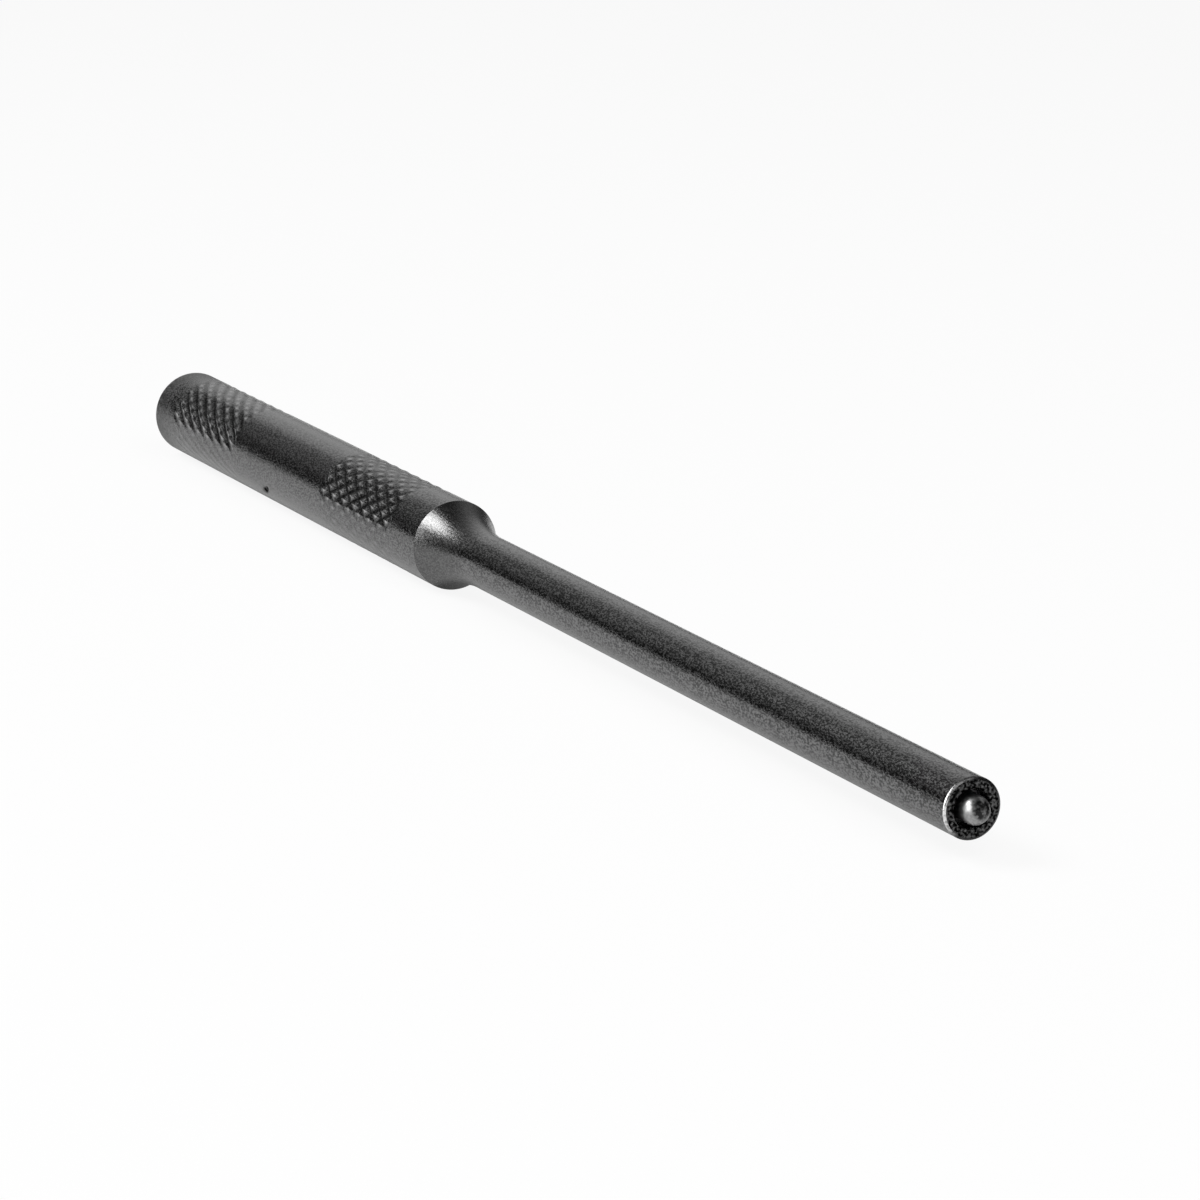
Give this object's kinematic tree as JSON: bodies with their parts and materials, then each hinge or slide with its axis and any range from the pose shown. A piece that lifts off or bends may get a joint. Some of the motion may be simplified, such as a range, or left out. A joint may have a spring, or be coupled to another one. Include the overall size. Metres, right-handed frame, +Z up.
{
  "type": "pilot punch",
  "caption": "Slim steel pin punch with a knurled handle, hollow shoulder, straight shank and a sprung ball-nosed pilot in its hollow tip, for driving rolled spring pins.",
  "frame": {"origin": "centre of the striking face, on the tool's axis", "axes": "+X along the tool's axis from the striking face to the pilot, +Z up with the tool lying level"},
  "size_m": [0.1539, 0.008, 0.008],
  "materials": {
    "black_steel": "blackened and oiled, satin, with fine turning marks",
    "bush_steel": "dark, as turned",
    "bright_steel": "bright, ground ball nose",
    "spring_steel": "drawn wire"
  },
  "bodies": {
    "punch": {"punch_body": "black_steel", "retaining_bush": "bush_steel", "pilot_spring": "spring_steel"},
    "pilot": {"pilot_pin": "bright_steel"}
  },
  "joints": [
    {"name": "pilot_slide", "type": "slide", "parent": "punch", "child": "pilot", "axis": [-1, 0, 0], "range_m": [0, 0.00145], "stiffness_N_per_m": 1700, "springref_m": -0.002, "deforming": ["pilot_spring"]}
  ]
}
